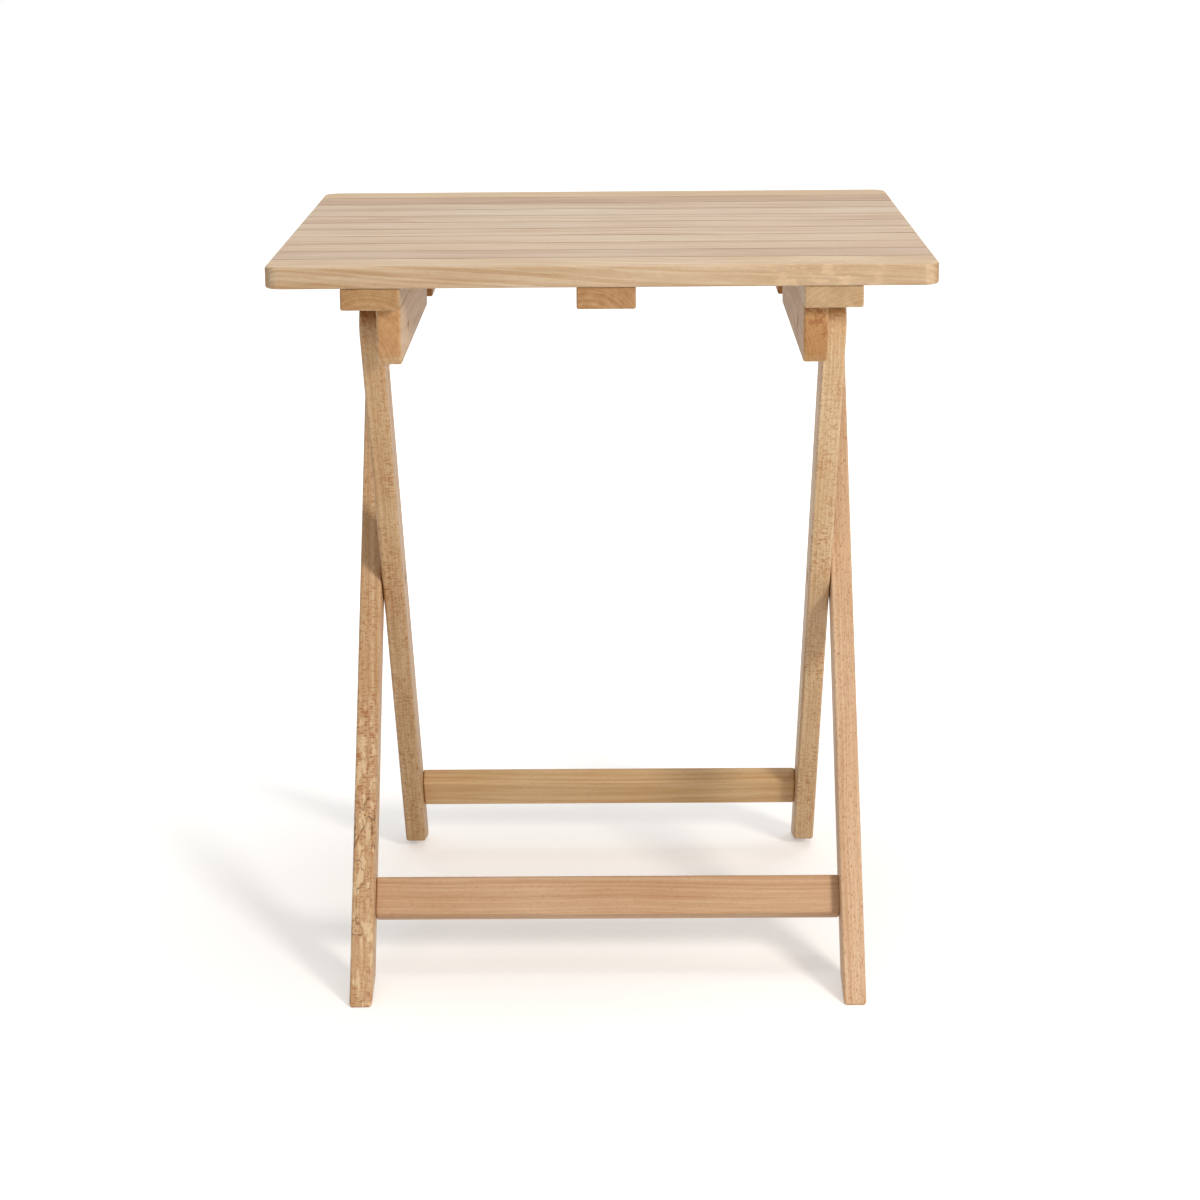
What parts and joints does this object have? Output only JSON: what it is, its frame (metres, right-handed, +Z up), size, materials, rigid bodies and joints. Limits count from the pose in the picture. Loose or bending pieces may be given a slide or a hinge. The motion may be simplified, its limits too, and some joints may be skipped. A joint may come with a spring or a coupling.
{
  "type": "folding picnic table",
  "caption": "Square slatted beech table top hinged on two crossed pairs of legs that fold flat, with stretchers, rails and a crossbar that bears on stop blocks.",
  "frame": {"origin": "on the floor, under the middle of the table top", "axes": "+X to the right as seen from the front, +Y to the back, +Z up, with the table open"},
  "size_m": [0.6, 0.6, 0.72],
  "materials": {
    "slats": "planed beech, unfinished, matt",
    "underframe": "planed beech, unfinished, matt",
    "legs": "planed beech, unfinished, matt",
    "dowels": "turned beech",
    "fasteners": "zinc plated, dull"
  },
  "bodies": {
    "table_top": {"slat_01": "slats", "slat_02": "slats", "slat_03": "slats", "slat_04": "slats", "slat_05": "slats", "slat_06": "slats", "slat_07": "slats", "slat_08": "slats", "slat_09": "slats", "slat_10": "slats", "slat_11": "slats", "batten_left": "underframe", "batten_middle": "underframe", "batten_right": "underframe", "rail_left": "underframe", "rail_right": "underframe", "stop_block_left": "underframe", "stop_block_right": "underframe", "slat_screws": "fasteners", "rail_screws": "fasteners", "block_screws": "fasteners", "top_pivot_bolts": "fasteners"},
    "inner_frame": {"inner_leg_left": "legs", "inner_leg_right": "legs", "rear_stretcher": "legs", "rear_stretcher_dowels": "dowels", "top_pivot_nuts": "fasteners", "cross_pivot_bolts": "fasteners", "cross_pivot_washers": "fasteners", "top_pivot_washers": "fasteners"},
    "outer_frame": {"outer_leg_left": "legs", "outer_leg_right": "legs", "front_stretcher": "legs", "front_stretcher_dowels": "dowels", "crossbar": "legs", "crossbar_dowels": "dowels", "cross_pivot_nuts": "fasteners"}
  },
  "joints": [
    {"name": "top_tilt", "type": "hinge", "parent": "inner_frame", "child": "table_top", "pos_m": [0, -0.17238, 0.65], "axis": [1, 0, 0], "range_deg": [0, 84]},
    {"name": "leg_fold", "type": "hinge", "parent": "inner_frame", "child": "outer_frame", "pos_m": [0, 0.0235, 0.36], "axis": [1, 0, 0], "range_deg": [0, 56]}
  ],
  "couplings": [
    {"joint": "leg_fold", "follows": "top_tilt", "ratio": 0.6666}
  ]
}
